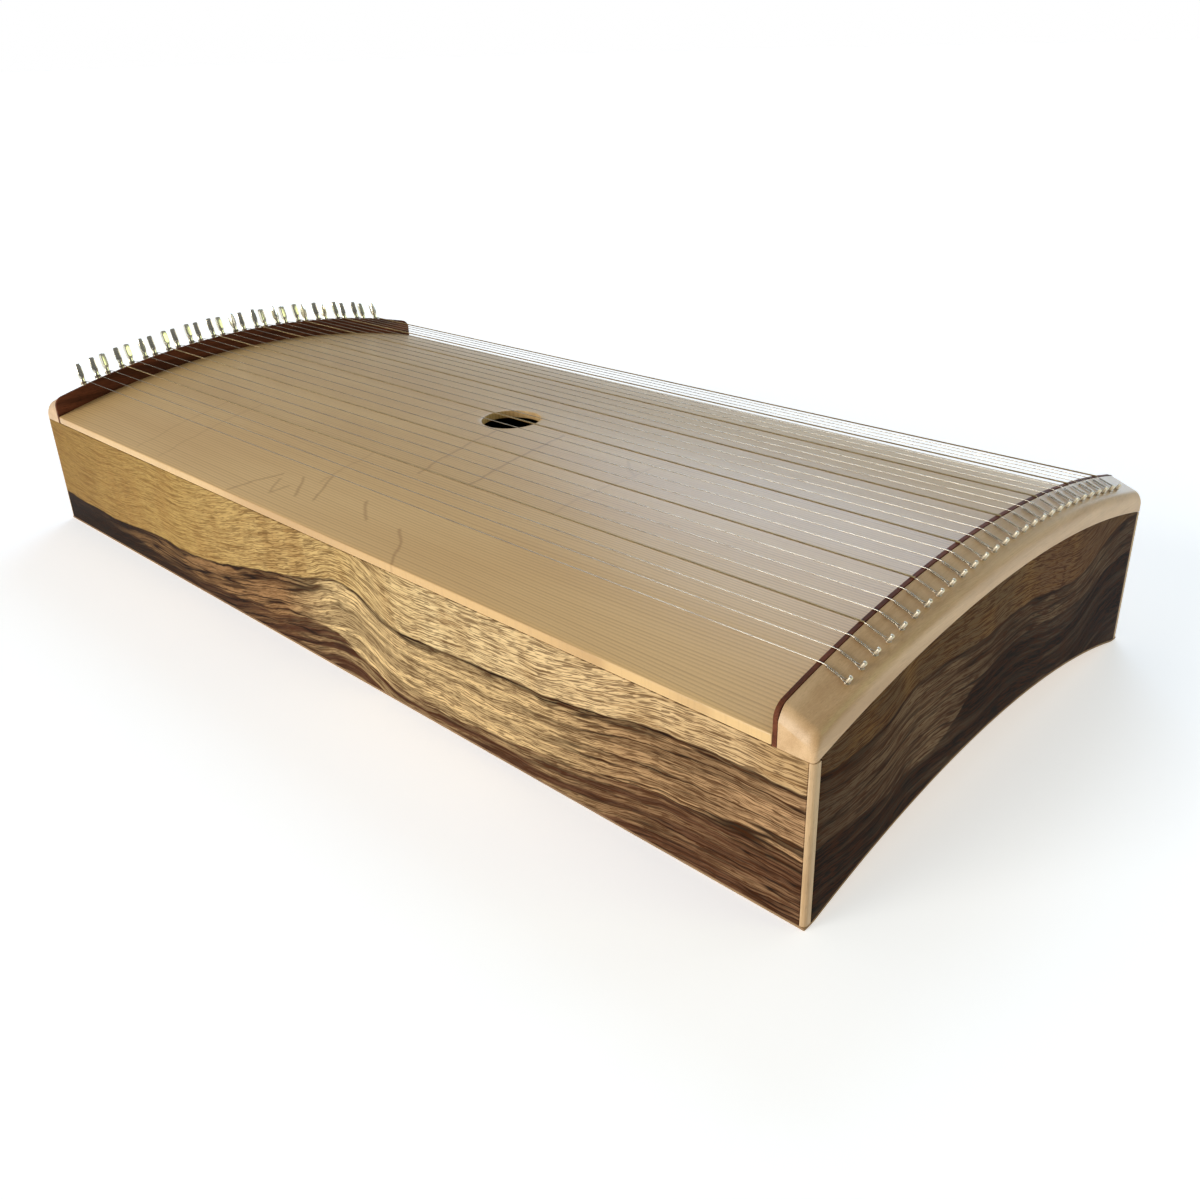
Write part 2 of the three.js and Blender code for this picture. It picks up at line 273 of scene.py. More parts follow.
# %% Floor
floor_mesh = bpy.data.meshes.new("floor")
REACH = 60.0
floor_mesh.from_pydata([(-REACH, -REACH, 0), (REACH, -REACH, 0), (REACH, REACH, 0), (-REACH, REACH, 0)],
                       [], [(0, 1, 2, 3)])
floor = bpy.data.objects.new("floor", floor_mesh)
scene.collection.objects.link(floor)
floor.location.z = -0.0002
floor_paint = bpy.data.materials.new("floor_paint")
floor_paint.use_nodes = True
floor_shader = floor_paint.node_tree.nodes["Principled BSDF"]
floor_shader.inputs["Base Color"].default_value = (0.87, 0.87, 0.87, 1)
floor_shader.inputs["Roughness"].default_value = 0.9
floor_shader.inputs["Specular IOR Level"].default_value = 0.1
floor_shader.inputs["Emission Color"].default_value = (1, 1, 1, 1)
floor_shader.inputs["Emission Strength"].default_value = 0.50
floor_mesh.materials.append(floor_paint)


# %% Lights
def add_far_lamp(name, toward, power, colour, width):
    """A lamp so far away that it lights everything alike; width is its breadth in degrees."""
    data = bpy.data.lights.new(name, "SUN")
    data.energy, data.color, data.angle = power, colour, math.radians(width)
    lamp = bpy.data.objects.new(name, data)
    scene.collection.objects.link(lamp)
    lamp.location = [3 * part for part in toward]
    lamp.rotation_euler = (-Vector(toward)).to_track_quat("-Z", "Y").to_euler()


add_far_lamp("low_sun", (-0.32, -0.92, 0.22), 2.6, (1.0, 0.97, 0.91), 35)
add_far_lamp("tall_window", (-0.46, 0.71, 0.53), 0.9, (0.50, 0.72, 1.0), 30)
add_far_lamp("rear_window", (-0.12, 0.97, 0.20), 0.4, (0.60, 0.80, 1.0), 22)

# %% Sky
sky = bpy.data.worlds.new("sky")
scene.world = sky
sky.use_nodes = True
sky_tree = sky.node_tree
sky_tree.nodes.clear()
toward = node(sky_tree, "ShaderNodeTexCoord").outputs["Generated"]


def facing(direction):
    """How nearly a ray points along a direction: 1 when it does."""
    return vector_maths(sky_tree, "DOT_PRODUCT", toward, Vector(direction).normalized(), "Value")


def sky_light(strength, colour):
    return node(sky_tree, "ShaderNodeBackground", {"Strength": strength, "Color": (*colour, 1)}).outputs[0]


brightness = node(sky_tree, "ShaderNodeMapRange", {"Value": facing((-0.50, 0.25, 0.83)), "From Min": -0.7,
                  "From Max": 0.9, "To Min": 0.08, "To Max": 0.40}).outputs[0]
lit_sky = sky_light(brightness, (0.93, 0.96, 1.0))
for direction, breadth, strength, colour in (((0.79, 0.47, 0.37), 12, 2.4, (0.86, 1.0, 0.48)),
                                             ((0.40, 0.86, 0.30), 10, 1.6, (1.0, 0.97, 0.86))):
    edge = math.cos(math.radians(breadth))
    share = smooth_step(sky_tree, facing(direction), edge - 0.01, edge + 0.01, 0.0, strength)
    glint = sky_light(share, colour)
    lit_sky = node(sky_tree, "ShaderNodeAddShader", {0: lit_sky, 1: glint}).outputs[0]
seen = node(sky_tree, "ShaderNodeLightPath").outputs["Is Camera Ray"]
whole_sky = node(sky_tree, "ShaderNodeMixShader", {0: seen, 1: lit_sky, 2: sky_light(1.0, (1, 1, 1))})
node(sky_tree, "ShaderNodeOutputWorld", {"Surface": whole_sky.outputs[0]})

# %% [markdown]
# ## Wood, seen close
# Wood is the same idea at several sizes: long soft bands of colour, finer fibres inside them, and short dark
# pores. All of them are stretched along the grain. One shared group makes these from a place measured in
# millimetres whose X runs along the grain; each material turns its own coordinates to suit.


# %% Shared group: plain long grain
COLOUR, NUMBER, PLACE = "NodeSocketColor", "NodeSocketFloat", "NodeSocketVector"
long_grain, given, made = new_group(
    "long_grain", "ShaderNodeTree",
    [("Place", PLACE, None), ("Light", COLOUR, (0.6, 0.45, 0.3, 1)), ("Dark", COLOUR, (0.4, 0.3, 0.2, 1)),
     ("Band Width", NUMBER, 9.0), ("Pore Strength", NUMBER, 0.3), ("Shimmer", NUMBER, 0.2)],
    [("Colour", COLOUR, None), ("Height", NUMBER, None), ("Softness", NUMBER, None)])
split = node(long_grain, "ShaderNodeSeparateXYZ", {0: given["Place"]}).outputs
side, rise = split[1], split[2]


def grain_noise(along, across, detail=2.0):
    """Noise stretched along the grain, read at the present side and rise."""
    place = vector(long_grain, times(long_grain, split[0], along),
                   times(long_grain, side, across), times(long_grain, rise, across))
    return noise(long_grain, place, detail=detail)


drift = grain_noise(0.006, 0.02, 1.0)
bend_off = times(long_grain, minus(long_grain, drift, 0.5), 14.0)
side, rise = [plus(long_grain, part, bend_off) for part in (side, rise)]
bands = grain_noise(0.004, maths(long_grain, "DIVIDE", 1.0, given["Band Width"]), 3.0)
fibres = grain_noise(0.05, 1.6, 3.0)
pores = grain_noise(0.22, 2.4, 1.0)
pore_mask = smooth_step(long_grain, pores, 0.60, 0.70)
shimmer = grain_noise(0.07, 0.02)
band_share = plus(long_grain, times(long_grain, bands, 1.1),
                  times(long_grain, fibres, 0.55))
band_share = smooth_step(long_grain, band_share, 0.55, 1.1)
wood = blend_colour(long_grain, band_share, given["Dark"], given["Light"])
glow = plus(long_grain, 1.0, times(long_grain,
            minus(long_grain, shimmer, 0.5), given["Shimmer"]))
wood = blend_colour(long_grain, 1.0, wood, vector(long_grain, glow, glow, glow), "MULTIPLY")
dark_pore = times(long_grain, pore_mask, given["Pore Strength"])
wood = blend_colour(long_grain, dark_pore, wood, tone(52, 36, 24))
plug(long_grain, wood, made["Colour"])
plug(long_grain, minus(long_grain, times(long_grain, fibres, 0.5), pore_mask),
     made["Height"])
plug(long_grain, times(long_grain, bands, 0.12), made["Softness"])
print("long_grain nodes:", len(long_grain.nodes))

# %% [markdown]
# ## Figured hardwood
# The sides are cut from a board with both pale sapwood and dark heartwood. The border between them wanders
# along the board, and the grain follows it. The border is a curve given for each panel. Every streak is
# drawn in a coordinate measured from that curve, so the lines flow with it, as they do in a real plank.

# %% Shared group: sapwood over heartwood
figure, given, made = new_group(
    "heartwood_figure", "ShaderNodeTree",
    [("Place", PLACE, None), ("Border", NUMBER, 50.0), ("Lower Border", NUMBER, 20.0),
     ("Sapwood", COLOUR, (0.5, 0.35, 0.2, 1)), ("Heartwood", COLOUR, (0.2, 0.14, 0.09, 1)),
     ("Deep Heartwood", COLOUR, (0.05, 0.03, 0.02, 1)), ("Vein Colour", COLOUR, (0.02, 0.015, 0.01, 1)),
     ("Seed", NUMBER, 0.0), ("Veins", NUMBER, 0.8), ("Pores", NUMBER, 0.6)],
    [("Colour", COLOUR, None), ("Height", NUMBER, None), ("Softness", NUMBER, None)])
split = node(figure, "ShaderNodeSeparateXYZ", {0: given["Place"]}).outputs


def figure_noise(along_scale, rise, rise_scale, detail=2.0, offset=0.0):
    """Noise over the panel, stretched along the board and shifted by the seed."""
    place = vector(figure, times(figure, split[0], along_scale),
                   plus(figure, given["Seed"], offset), times(figure, rise, rise_scale))
    return noise(figure, place, detail=detail)


def centred(value, amount):
    return times(figure, minus(figure, value, 0.5), amount)


def ridge_line(value, width):
    """Bright where a noise crosses its middle value: a thin line that wanders and forks."""
    return smooth_step(figure, maths(figure, "ABSOLUTE", minus(figure, value, 0.5)), 0.0, width,
                       1.0, 0.0)


wander = centred(figure_noise(0.012, split[2], 0.03), 8.0)
waver = centred(figure_noise(0.05, split[2], 0.07, 2.0, 5.0), 3.0)
level = plus(figure, split[2], plus(figure, wander, waver))
above = minus(figure, level, given["Border"])
above_lower = minus(figure, level, given["Lower Border"])
steep = minus(figure, level, times(figure, given["Border"], 1.25))
along_shade = figure_noise(0.007, above, 0.14, 3.0)
wide_vein = ridge_line(figure_noise(0.0045, above, 0.085, 2.0, 1.0), 0.032)
thin_vein = ridge_line(figure_noise(0.008, above, 0.22, 2.0, 2.0), 0.038)
fine = figure_noise(0.022, steep, 0.55, 3.0, 3.0)
dash = smooth_step(figure, figure_noise(0.045, steep, 1.05, 1.0, 4.0), 0.52, 0.60)
tick = smooth_step(figure, figure_noise(0.12, steep, 1.8, 0.0, 6.0), 0.56, 0.66)
# Soft bands across the grain are painted sheen: the shimmer of figured wood under light, fixed in the colour
# as darker bands.
painted_sheen_band = figure_noise(0.030, plus(figure, split[2], split[0]), 0.010, 1.0, 7.0)

sap_dark = blend_colour(figure, 0.6, given["Sapwood"], tone(112, 74, 34))
sap = blend_colour(figure, smooth_step(figure, fine, 0.42, 0.72), given["Sapwood"], sap_dark)
# Painted sheen: darker bands across the sapwood.
sap = blend_colour(figure, times(figure, smooth_step(figure, painted_sheen_band, 0.48, 0.72), 0.35), sap,
                   tone(150, 110, 60))
heart_dark = blend_colour(figure, 0.5, given["Heartwood"], tone(66, 44, 28))
heart = blend_colour(figure, smooth_step(figure, along_shade, 0.46, 0.60), given["Heartwood"], heart_dark)
heart = blend_colour(figure, times(figure, smooth_step(figure, fine, 0.45, 0.65), 0.4), heart,
                     heart_dark)
deep_light = blend_colour(figure, 0.45, given["Deep Heartwood"], given["Heartwood"])
deep = blend_colour(figure, smooth_step(figure, along_shade, 0.40, 0.56), deep_light, given["Deep Heartwood"])
deep = blend_colour(figure, times(figure, smooth_step(figure, fine, 0.45, 0.65), 0.5), deep,
                    given["Vein Colour"])
flame = centred(figure_noise(0.02, above_lower, 0.25, 3.0, 8.0), 16.0)
lower_mask = smooth_step(figure, plus(figure, above_lower, flame), -1.5, 1.5)
heart = blend_colour(figure, lower_mask, deep, heart)
veins = maths(figure, "MAXIMUM", wide_vein, times(figure, thin_vein, 0.7))
heart = blend_colour(figure, times(figure, veins, given["Veins"]), heart, given["Vein Colour"])
sap_mask = smooth_step(figure, above, -0.5, 0.7)
wood = blend_colour(figure, sap_mask, heart, sap)
band_depth = plus(figure, 2.2, times(figure, smooth_step(
    figure, figure_noise(0.02, 0.0, 1.0, 1.0, 9.0), 0.40, 0.65), 8.0))
inside_band = maths(figure, "DIVIDE", above, band_depth)
border_band = times(figure, smooth_step(figure, inside_band, -1.0, -0.35),
                    smooth_step(figure, above, -0.1, 1.0, 1.0, 0.0))
border_band = times(figure, border_band, smooth_step(
    figure, figure_noise(0.02, above, 0.5, 2.0, 10.0), 0.35, 0.55, 1.0, 0.6))
wood = blend_colour(figure, border_band, wood, given["Vein Colour"])
pore_colour = blend_colour(figure, 0.75, wood, tone(66, 34, 12))
pore_mask = times(figure, maths(figure, "MAXIMUM", dash, tick), given["Pores"])
wood = blend_colour(figure, pore_mask, wood, pore_colour)
plug(figure, wood, made["Colour"])
plug(figure, minus(figure, times(figure, fine, 0.4), pore_mask), made["Height"])
plug(figure, times(figure, along_shade, 0.1), made["Softness"])
print("heartwood_figure nodes:", len(figure.nodes))

# %% [markdown]
# ## From group to finish
# A finish needs one shader of its own. The helper below starts a material, measures the surface in
# millimetres with the grain turned to X, and wires colour, roughness and a fine bump into the shader. Gloss
# values that are the same all over are set on the shader itself.


# %% Material helpers
ALONG_X = (0, 0, 0)
ALONG_Y = (0, 0, math.radians(-90))
ALONG_Z = (0, math.radians(90), 0)


def start_finish(name, grain, shift=(0, 0, 0)):
    finish = bpy.data.materials.new(name)
    finish.use_nodes = True
    tree = finish.node_tree
    place = node(tree, "ShaderNodeTexCoord").outputs["Object"]
    in_mm = node(tree, "ShaderNodeMapping", {"Vector": place, "Rotation": grain, "Location": shift,
                                             "Scale": (1000, 1000, 1000)})
    return finish, tree, in_mm.outputs[0]


def finish_wood(tree, colour, height, softness, gloss=0.38, bump=0.12, shine=0.5):
    shader = tree.nodes["Principled BSDF"]
    shader.inputs["Specular IOR Level"].default_value = shine
    plug(tree, colour, shader.inputs["Base Color"])
    plug(tree, plus(tree, softness, gloss), shader.inputs["Roughness"])
    relief = node(tree, "ShaderNodeBump", {"Height": height, "Strength": bump, "Distance": 0.0004})
    plug(tree, relief.outputs[0], shader.inputs["Normal"])


def plain_wood(name, grain, light, dark, band_width, pores, shimmer, **finish_settings):
    finish, tree, place = start_finish(name, grain)
    wood = node(tree, "ShaderNodeGroup", node_tree=long_grain)
    for socket, value in (("Place", place), ("Light", light), ("Dark", dark), ("Band Width", band_width),
                          ("Pore Strength", pores), ("Shimmer", shimmer)):
        plug(tree, value, wood.inputs[socket])
    finish_wood(tree, wood.outputs["Colour"], wood.outputs["Height"], wood.outputs["Softness"],
                **finish_settings)
    return finish


maple_y = plain_wood("maple_across", ALONG_Y, tone(214, 179, 134), tone(190, 152, 106), 12.0, 0.14, 0.22,
                     gloss=0.32, bump=0.05)
maple_z = plain_wood("maple_upright", ALONG_Z, tone(208, 176, 134), tone(182, 146, 102), 6.0, 0.2, 0.3,
                     gloss=0.36, bump=0.06, shine=0.35)
bridge_wood = plain_wood("bridge_wood", ALONG_Y, tone(120, 68, 46), tone(78, 44, 30), 7.0, 0.6, 0.25,
                         gloss=0.46, bump=0.15, shine=0.05)
back_wood = plain_wood("back_wood", ALONG_X, tone(170, 138, 98), tone(138, 106, 72), 14.0, 0.3, 0.2,
                       gloss=0.5, bump=0.1, shine=0.3)
brace_woods = [plain_wood("brace_" + way, turn, tone(222, 194, 148), tone(196, 162, 112), 5.0, 0.1, 0.1,
                          gloss=0.55, bump=0.1)
               for way, turn in (("along", ALONG_X), ("across", ALONG_Y), ("upright", ALONG_Z))]
print("plain woods:", [finish.name for finish in (maple_y, maple_z, bridge_wood, back_wood, *brace_woods)])


# %% Figured panels
def figured_panel(name, grain, half_span, border, lower_border, sapwood, heartwood, deep, seed, veins,
                   pores):
    """border and lower_border are given (along, height) points in millimetres. The colours are
    (along, colour) stops; veins and pores are (along, strength) points, so a plank can change along it."""
    finish, tree, place = start_finish(name, grain)
    along = node(tree, "ShaderNodeSeparateXYZ", {0: place}).outputs[0]
    share = maths(tree, "DIVIDE", plus(tree, along, half_span), 2 * half_span)
    top = 160.0

    def along_share(points, full):
        return [((x + half_span) / (2 * half_span), value / full) for x, value in points]

    def curve(points):
        return times(tree, line_height(tree, share, along_share(points, top)), top)

    def shades(stops):
        return colour_ramp(tree, share, [((x + half_span) / (2 * half_span), tone(*c)) for x, c in stops])

    wood = node(tree, "ShaderNodeGroup", node_tree=figure)
    for socket, value in (("Place", place), ("Border", curve(border)), ("Lower Border", curve(lower_border)),
                          ("Sapwood", shades(sapwood)), ("Heartwood", shades(heartwood)),
                          ("Deep Heartwood", shades(deep)), ("Seed", seed),
                          ("Pores", line_height(tree, share, along_share(pores, 1.0))),
                          ("Veins", line_height(tree, share, along_share(veins, 1.0))),
                          ("Vein Colour", tone(28, 18, 12))):
        plug(tree, value, wood.inputs[socket])
    finish_wood(tree, wood.outputs["Colour"], wood.outputs["Height"], wood.outputs["Softness"],
                gloss=0.52, bump=0.25, shine=0.02)
    return finish


FRONT_BORDER = [(-450, 32), (-360, 27), (-250, 34), (-200, 33), (-135, 40), (-80, 52), (0, 69), (50, 78),
                (75, 72), (110, 63), (150, 64), (250, 68), (300, 75), (350, 83), (450, 86)]
FRONT_LOWER = [(-450, 24), (-330, 20), (-200, 16), (-60, 20), (25, 33), (70, 20), (150, 15), (200, 18),
               (300, 30), (370, 42), (450, 44)]
# The colour stops darken towards the left end of the plank: partly the wood's own colour and partly painted
# shade, where less light falls on that end.
front_wood = figured_panel(
    "front_figure", ALONG_X, 450.0, FRONT_BORDER, FRONT_LOWER,
    [(-450, (146, 114, 60)), (-200, (178, 146, 86)), (50, (206, 174, 116)), (150, (228, 200, 148)),
     (300, (224, 192, 142)), (450, (206, 172, 126))],
    [(-450, (28, 21, 15)), (-340, (56, 41, 27)), (-250, (142, 108, 70)), (-40, (156, 118, 78)),
     (30, (228, 196, 140)), (240, (222, 188, 134)), (320, (178, 142, 100)), (450, (182, 144, 104))],
    [(-450, (20, 15, 11)), (-300, (34, 24, 16)), (0, (88, 58, 40)), (450, (104, 73, 52))], 3.1,
    [(-450, 0.95), (-40, 1.0), (60, 0.45), (230, 0.4), (310, 0.95), (450, 0.95)],
    [(-450, 0.35), (-200, 0.5), (0, 0.8), (450, 0.9)])
rear_wood = figured_panel(
    "rear_figure", ALONG_X, 450.0,
    [(-450, 84), (-300, 76), (-200, 62), (-60, 66), (40, 58), (150, 44), (300, 30), (450, 36)],
    [(-450, 40), (-300, 30), (-150, 18), (0, 24), (200, 16), (450, 20)],
    [(-450, (150, 118, 76)), (-100, (180, 148, 98)), (200, (186, 152, 104)), (450, (160, 126, 80))],
    [(-450, (108, 82, 58)), (-150, (176, 144, 104)), (150, (130, 100, 68)), (450, (64, 47, 33))],
    [(-450, (84, 60, 44)), (0, (80, 58, 42)), (450, (44, 33, 24))], 11.7,
    [(-450, 0.9), (-250, 0.4), (0, 0.5), (450, 0.9)], [(-450, 0.8), (450, 0.6)])
right_wood = figured_panel(
    "right_end_figure", ALONG_Y, 213.0,
    [(-213, 97), (-150, 94), (-110, 105), (-33, 103), (13, 104), (80, 93), (113, 91), (163, 107), (213, 108)],
    [(-213, 52), (-90, 50), (-60, 60), (-33, 76), (30, 79), (80, 72), (113, 72), (147, 77), (213, 78)],
    [(-213, (92, 73, 52)), (0, (108, 86, 60)), (60, (114, 84, 58)), (213, (96, 76, 54))],
    [(-213, (82, 66, 50)), (-90, (128, 104, 78)), (0, (82, 66, 49)), (70, (116, 94, 70)),
     (213, (84, 68, 52))],
    [(-213, (20, 16, 13)), (213, (16, 13, 10))], 23.9, [(-213, 0.9), (213, 0.9)],
    [(-213, 1.0), (213, 1.0)])
left_wood = figured_panel(
    "left_end_figure", ALONG_Y, 213.0,
    [(-213, 34), (-120, 42), (-20, 58), (60, 52), (140, 66), (213, 84)],
    [(-213, 20), (-60, 26), (80, 22), (213, 40)],
    [(-213, (146, 112, 68)), (213, (156, 122, 78))],
    [(-213, (60, 44, 31)), (213, (104, 78, 54))],
    [(-213, (40, 30, 21)), (213, (58, 42, 30))], 41.3, [(-213, 0.8), (213, 0.7)],
    [(-213, 0.8), (213, 0.8)])
print("figured panels:", front_wood.name, rear_wood.name, right_wood.name, left_wood.name)

# %% [markdown]
# ## Soundboard
# A soundboard is split softwood, sawn so that its yearly rings stand upright. From above they are straight
# fine lines about 2.5 mm apart, closer in some places. Here and there short, wavy brown marks cross them.
# The rings come from a saw-tooth of the distance across the board, bent a little by a slow noise.

# %% Soundboard finish
crossing, given, made = new_group(
    "crossing_mark", "ShaderNodeTree",
    [("Place", PLACE, None), ("Start", PLACE, None), ("Reach", PLACE, None), ("Width", NUMBER, 2.0),
     ("Strength", NUMBER, 0.5)], [("Mark", NUMBER, None)])
from_start = vector_maths(crossing, "SUBTRACT", given["Place"], given["Start"])
share = maths(crossing, "DIVIDE", vector_maths(crossing, "DOT_PRODUCT", from_start, given["Reach"], "Value"),
              vector_maths(crossing, "DOT_PRODUCT", given["Reach"], given["Reach"], "Value"), clamp=True)
nearest = node(crossing, "ShaderNodeVectorMath", {0: given["Reach"], "Scale": share}, operation="SCALE")
gap = vector_maths(crossing, "DISTANCE", from_start, nearest.outputs["Vector"], "Value")
plug(crossing, times(crossing, smooth_step(crossing, gap, 0.0, given["Width"], 1.0, 0.0),
                     given["Strength"]), made["Mark"])

softwood, tree, place = start_finish("soundboard_wood", ALONG_X)
split = node(tree, "ShaderNodeSeparateXYZ", {0: place}).outputs


def board_noise(along_scale, across_scale, seed, detail=2.0):
    return noise(tree, vector(tree, times(tree, split[0], along_scale),
                 times(tree, split[1], across_scale), seed), detail=detail)


RING_SPACING = 2.5
ring_count = plus(tree, maths(tree, "DIVIDE", split[1], RING_SPACING),
                  times(tree, board_noise(0.0016, 0.012, 0.0), 9.0))
ring_share = maths(tree, "FRACT", ring_count)
ring_line = times(tree, smooth_step(tree, ring_share, 0.25, 0.86),
                  smooth_step(tree, ring_share, 0.88, 1.0, 1.0, 0.0))
ring_weight = node(tree, "ShaderNodeTexWhiteNoise", {"W": maths(tree, "FLOOR", ring_count)},
                   noise_dimensions="1D").outputs["Value"]
fibre = board_noise(0.03, 1.7, 3.0, 3.0)
fleck = board_noise(0.5, 1.1, 5.0, 1.0)
broad = board_noise(0.004, 0.02, 9.0)
board_colour = blend_colour(tree, smooth_step(tree, broad, 0.3, 0.7),
                            tone(213, 174, 116), tone(221, 184, 126))
board_colour = blend_colour(tree, times(tree, smooth_step(tree, fibre, 0.4, 0.75), 0.25),
                            board_colour, tone(200, 164, 112))
ring_depth = plus(tree, times(tree, ring_weight, 0.26), 0.20)
ring_strength = times(tree, ring_line, ring_depth)
board_colour = blend_colour(tree, ring_strength, board_colour, tone(152, 108, 64))
board_colour = blend_colour(tree, times(tree, smooth_step(tree, fleck, 0.5, 0.7), 0.12),
                            board_colour, tone(170, 134, 92))

# Short wavy marks cross the grain in a few places: each is a start and an end in millimetres and a strength.
CROSSING_MARKS = [
    ((14, -30), (24, -120), 0.6), ((67, -4), (78, -114), 0.65), ((175, -7), (164, -114), 0.3),
    ((149, -17), (173, -37), 0.35), ((-42, -4), (-44, -37), 0.3), ((-269, -114), (-267, -207), 0.3),
    ((-230, -100), (-228, -207), 0.3), ((-40, -114), (-39, -167), 0.3), ((-107, -210), (-83, -174), 0.6),
    ((-77, -180), (-67, -197), 0.5), ((-67, -197), (-59, -184), 0.5), ((-59, -170), (-40, -190), 0.6),
    ((-37, -157), (-20, -187), 0.6), ((23, -169), (45, -185), 0.6), ((80, -182), (95, -192), 0.6),
    ((95, -192), (110, -212), 0.6)]
wobble = times(tree, minus(tree, board_noise(0.02, 0.06, 14.0, 3.0), 0.5), 9.0)
marked_place = vector(tree, plus(tree, split[0], wobble), split[1], 0.0)
claw = 0.0
for start, end, strength in CROSSING_MARKS:
    reach = (end[0] - start[0], end[1] - start[1], 0)
    one = node(tree, "ShaderNodeGroup", node_tree=crossing)
    for socket, value in (("Place", marked_place), ("Start", (*start, 0)), ("Reach", reach),
                          ("Width", 2.4), ("Strength", strength)):
        plug(tree, value, one.inputs[socket])
    claw = maths(tree, "MAXIMUM", one.outputs["Mark"], claw)
board_colour = blend_colour(tree, times(tree, claw, 0.75), board_colour, tone(150, 106, 60))
relief = plus(tree, plus(tree, ring_strength, times(tree, fibre, 0.4)), claw)
finish_wood(tree, board_colour, relief, times(tree, fibre, 0.12), gloss=0.29, bump=0.08)


# %% [markdown]
# ## Metal
# The pins are nickelled steel, polished but handled, so their roughness changes a little from place to place.
# The thick strings are wound with bronze wire: their fine ribs come from a wave along the string.

# %% Metal finishes
def metal(name, colour, dark, roughness, wear_scale, rib_width=0.0):
    finish, tree, place = start_finish(name, ALONG_X)
    shader = tree.nodes["Principled BSDF"]
    shader.inputs["Metallic"].default_value = 1.0
    wear = noise(tree, place, wear_scale, 3.0)
    worn = blend_colour(tree, smooth_step(tree, wear, 0.45, 0.8), colour, dark)
    plug(tree, worn, shader.inputs["Base Color"])
    plug(tree, plus(tree, times(tree, wear, 0.16), roughness), shader.inputs["Roughness"])
    if rib_width:
        along = node(tree, "ShaderNodeSeparateXYZ", {0: place}).outputs[0]
        ribs = maths(tree, "SINE", times(tree, along, math.tau / rib_width))
        bump = node(tree, "ShaderNodeBump", {"Height": ribs, "Strength": 1.0, "Distance": 0.00008})
        plug(tree, bump.outputs[0], shader.inputs["Normal"])
    return finish


nickel = metal("nickel", tone(226, 220, 200), tone(186, 178, 156), 0.10, 0.9)
pin_steel = metal("hitch_pin_steel", tone(232, 222, 200), tone(190, 176, 150), 0.30, 0.9)
steel = metal("string_steel", tone(186, 176, 160), tone(152, 140, 124), 0.15, 0.05)
bronze = metal("string_bronze", tone(196, 172, 128), tone(150, 124, 84), 0.26, 1.5, 0.4)
print("finishes:", len(bpy.data.materials))

# %% [markdown]
# ## Making pieces
# Most pieces are boards. A board starts flat, with its long edges rounded by a Bevel modifier, and a Geometry
# Nodes tree then lifts every point by the height of the arch at its place across the box. The soundboard, the
# bridges, the blocks and the end panels all share that tree, so their curves always agree.


# %% Geometry Nodes: follow the arch
def arch_nodes(tree, across, half_chord, rise):
    """The same round arch as arch_height, in nodes."""
    square = plus(tree, times(tree, half_chord, half_chord),
                  times(tree, rise, rise))
    radius = maths(tree, "DIVIDE", square, times(tree, rise, 2.0))
    inside = minus(tree, times(tree, radius, radius),
                   times(tree, across, across))
    height = minus(tree, maths(tree, "SQRT", inside), minus(tree, radius, rise))
    return maths(tree, "MAXIMUM", height, 0.0)


LENGTH, SHAPE, SKIN = "NodeSocketFloat", "NodeSocketGeometry", "NodeSocketMaterial"
follow_arch, given, made = new_group(
    "follow_the_arch", "GeometryNodeTree",
    [("Geometry", SHAPE, None), ("Top Half Width", LENGTH, 0.2), ("Top Rise", LENGTH, 0.03),
     ("Hollow Half Width", LENGTH, 0.2), ("Hollow Rise", LENGTH, 0.03), ("Foot Height", LENGTH, 0.0),
     ("Head Height", LENGTH, 0.1), ("Material", SKIN, None)],
    [("Geometry", SHAPE, None)])
point = node(follow_arch, "ShaderNodeSeparateXYZ",
             {0: node(follow_arch, "GeometryNodeInputPosition").outputs[0]}).outputs
top_height = arch_nodes(follow_arch, point[1], given["Top Half Width"], given["Top Rise"])
hollow_height = arch_nodes(follow_arch, point[1], given["Hollow Half Width"], given["Hollow Rise"])
head_share = node(follow_arch, "ShaderNodeMapRange", {"Value": point[2], "From Min": given["Foot Height"],
                  "From Max": given["Head Height"]}).outputs["Result"]
lift = plus(follow_arch, times(follow_arch, top_height, head_share),
            times(follow_arch, hollow_height, minus(follow_arch, 1.0, head_share)))
lifted = node(follow_arch, "GeometryNodeSetPosition", {"Geometry": given["Geometry"],
              "Offset": vector(follow_arch, 0.0, 0.0, lift)})
finish_shape(follow_arch, lifted, given["Material"], made["Geometry"])


# %% Turn modifiers into plain meshes
def add_tree(piece, tree, values):
    """Adds a Geometry Nodes modifier and sets its inputs, found by their identifiers."""
    modifier = piece.modifiers.new(tree.name, "NODES")
    modifier.node_group = tree
    for item in tree.interface.items_tree:
        if item.item_type == "SOCKET" and item.in_out == "INPUT" and item.name in values:
            modifier[item.identifier] = values[item.name]


def settle(piece, sharp_angle=32):
    """Evaluates the modifiers and leaves a plain, smooth-shaded mesh object with the same name."""
    graph = bpy.context.evaluated_depsgraph_get()
    mesh = bpy.data.meshes.new_from_object(piece.evaluated_get(graph), depsgraph=graph)
    name = piece.name
    bpy.data.objects.remove(piece)
    mesh.name = name
    mesh.shade_smooth()
    mesh.set_sharp_from_angle(angle=math.radians(sharp_angle))
    settled = bpy.data.objects.new(name, mesh)
    scene.collection.objects.link(settled)
    return settled


def place_piece(piece, replaced=(), body="root"):
    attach(piece, body)
    if replaced:
        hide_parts(*replaced)
    return piece


def from_shape(name, shape):
    """A linked object from a bmesh, with its faces turned outwards."""
    bmesh.ops.recalc_face_normals(shape, faces=shape.faces)
    mesh = bpy.data.meshes.new(name)
    shape.to_mesh(mesh)
    shape.free()
    piece = bpy.data.objects.new(name, mesh)
    scene.collection.objects.link(piece)
    return piece


